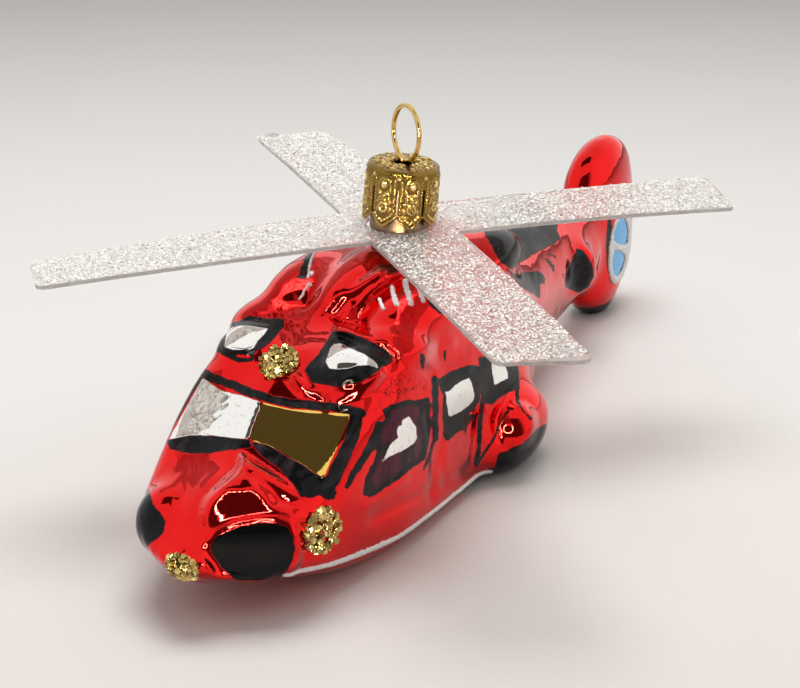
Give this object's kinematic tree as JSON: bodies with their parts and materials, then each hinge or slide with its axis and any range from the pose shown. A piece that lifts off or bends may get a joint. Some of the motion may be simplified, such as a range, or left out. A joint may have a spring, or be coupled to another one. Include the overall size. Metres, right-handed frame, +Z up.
{
  "type": "glass helicopter christmas tree ornament",
  "caption": "Mirror-silvered red blown-glass helicopter ornament with a frosted plastic rotor that spins under an embossed gold cap and a wire hanging loop.",
  "frame": {"origin": "on the surface that the ornament stands on, at the flat of its belly straight under the glass neck, whose axis is the rotor's axis", "axes": "+Z up along the neck, -Y towards the nose, +X towards the helicopter's own left side"},
  "size_m": [0.0817, 0.1348, 0.0527],
  "materials": {
    "red_silvered_glass": "silvered inside, red lacquer and hand-painted black outside, high gloss",
    "frosted_plastic": "milky translucent sheet covered with white glitter",
    "embossed_gold": "pressed, satin, embossed",
    "gold_wire": "drawn wire, bright",
    "gold_glitter": "coarse metallic glitter",
    "white_glitter": "white glitter paint"
  },
  "bodies": {
    "ornament": {"glass_body": "red_silvered_glass", "cap": "embossed_gold", "gold_glitter_roof": "gold_glitter", "gold_glitter_chin": "gold_glitter", "gold_glitter_port": "gold_glitter", "gold_glitter_starboard": "gold_glitter", "glitter_stripe_port": "white_glitter", "glitter_stripe_starboard": "white_glitter", "fenestron_ring_port": "white_glitter", "fenestron_ring_starboard": "white_glitter"},
    "rotor": {"rotor": "frosted_plastic"},
    "hanger": {"hanger_loop": "gold_wire"}
  },
  "joints": [
    {"name": "rotor_spin", "type": "hinge", "parent": "ornament", "child": "rotor", "pos_m": [0, 0, 0.035], "axis": [0, 0, 1], "continuous": true},
    {"name": "hanger_swivel", "type": "hinge", "parent": "ornament", "child": "hanger", "pos_m": [0, 0, 0.0367], "axis": [0.0685, 0.0383, 0.9969], "continuous": true}
  ]
}
